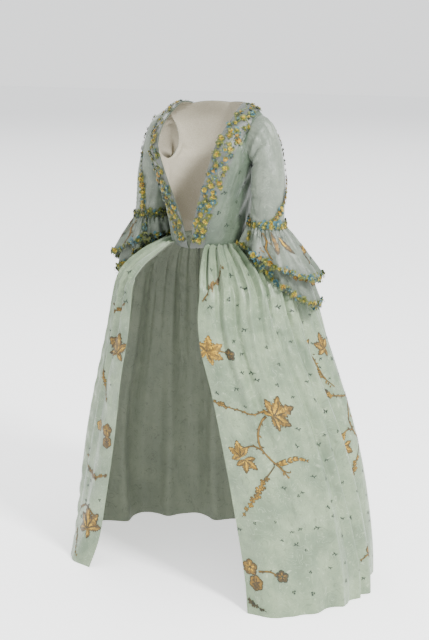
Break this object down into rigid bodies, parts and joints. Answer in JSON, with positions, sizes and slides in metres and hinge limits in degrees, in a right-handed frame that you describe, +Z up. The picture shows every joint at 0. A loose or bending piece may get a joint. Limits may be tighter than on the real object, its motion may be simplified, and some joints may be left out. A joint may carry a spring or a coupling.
{
  "type": "open-fronted english gown",
  "caption": "Open-fronted gown in worn form, empty: V-fronted bodice with robings, elbow sleeves with double flounces, and a pleated skirt parted in front.",
  "frame": {"origin": "midway between the shoulder straps, at the height of their neck edges, where the wearer carries the gown", "axes": "+Z up, -Y the way the wearer faces, +X the wearer's left"},
  "size_m": [0.9886, 0.5929, 1.3774],
  "materials": {
    "brocaded_silk": "fine silk with a soft sheen, self-coloured figure and brocaded flowers",
    "fly_fringe": "knotted silk fringe in yellow, green and blue",
    "lining": "plain undyed linen",
    "gilt_silk": "floss silk brocading in ochre and brown"
  },
  "bodies": {
    "root": {"shoulder_strap_left": "brocaded_silk", "front_left": "brocaded_silk", "robing_left": "brocaded_silk", "robing_trim_left": "fly_fringe", "side_back_left": "brocaded_silk", "back_left": "brocaded_silk", "sleeve_left": "brocaded_silk", "sleeve_trim_left": "fly_fringe", "flounce_upper_left": "brocaded_silk", "flounce_upper_trim_left": "fly_fringe", "cuff_trim_left": "fly_fringe", "flounce_lower_left": "brocaded_silk", "flounce_lower_trim_left": "fly_fringe", "skirt_front_left": "brocaded_silk", "skirt_side_left": "brocaded_silk", "skirt_back_left": "brocaded_silk", "shoulder_strap_right": "brocaded_silk", "front_right": "brocaded_silk", "robing_right": "brocaded_silk", "robing_trim_right": "fly_fringe", "side_back_right": "brocaded_silk", "back_right": "brocaded_silk", "sleeve_right": "brocaded_silk", "sleeve_trim_right": "fly_fringe", "flounce_upper_right": "brocaded_silk", "flounce_upper_trim_right": "fly_fringe", "cuff_trim_right": "fly_fringe", "flounce_lower_right": "brocaded_silk", "flounce_lower_trim_right": "fly_fringe", "skirt_front_right": "brocaded_silk", "skirt_side_right": "brocaded_silk", "skirt_back_right": "brocaded_silk"}
  },
  "joints": []
}
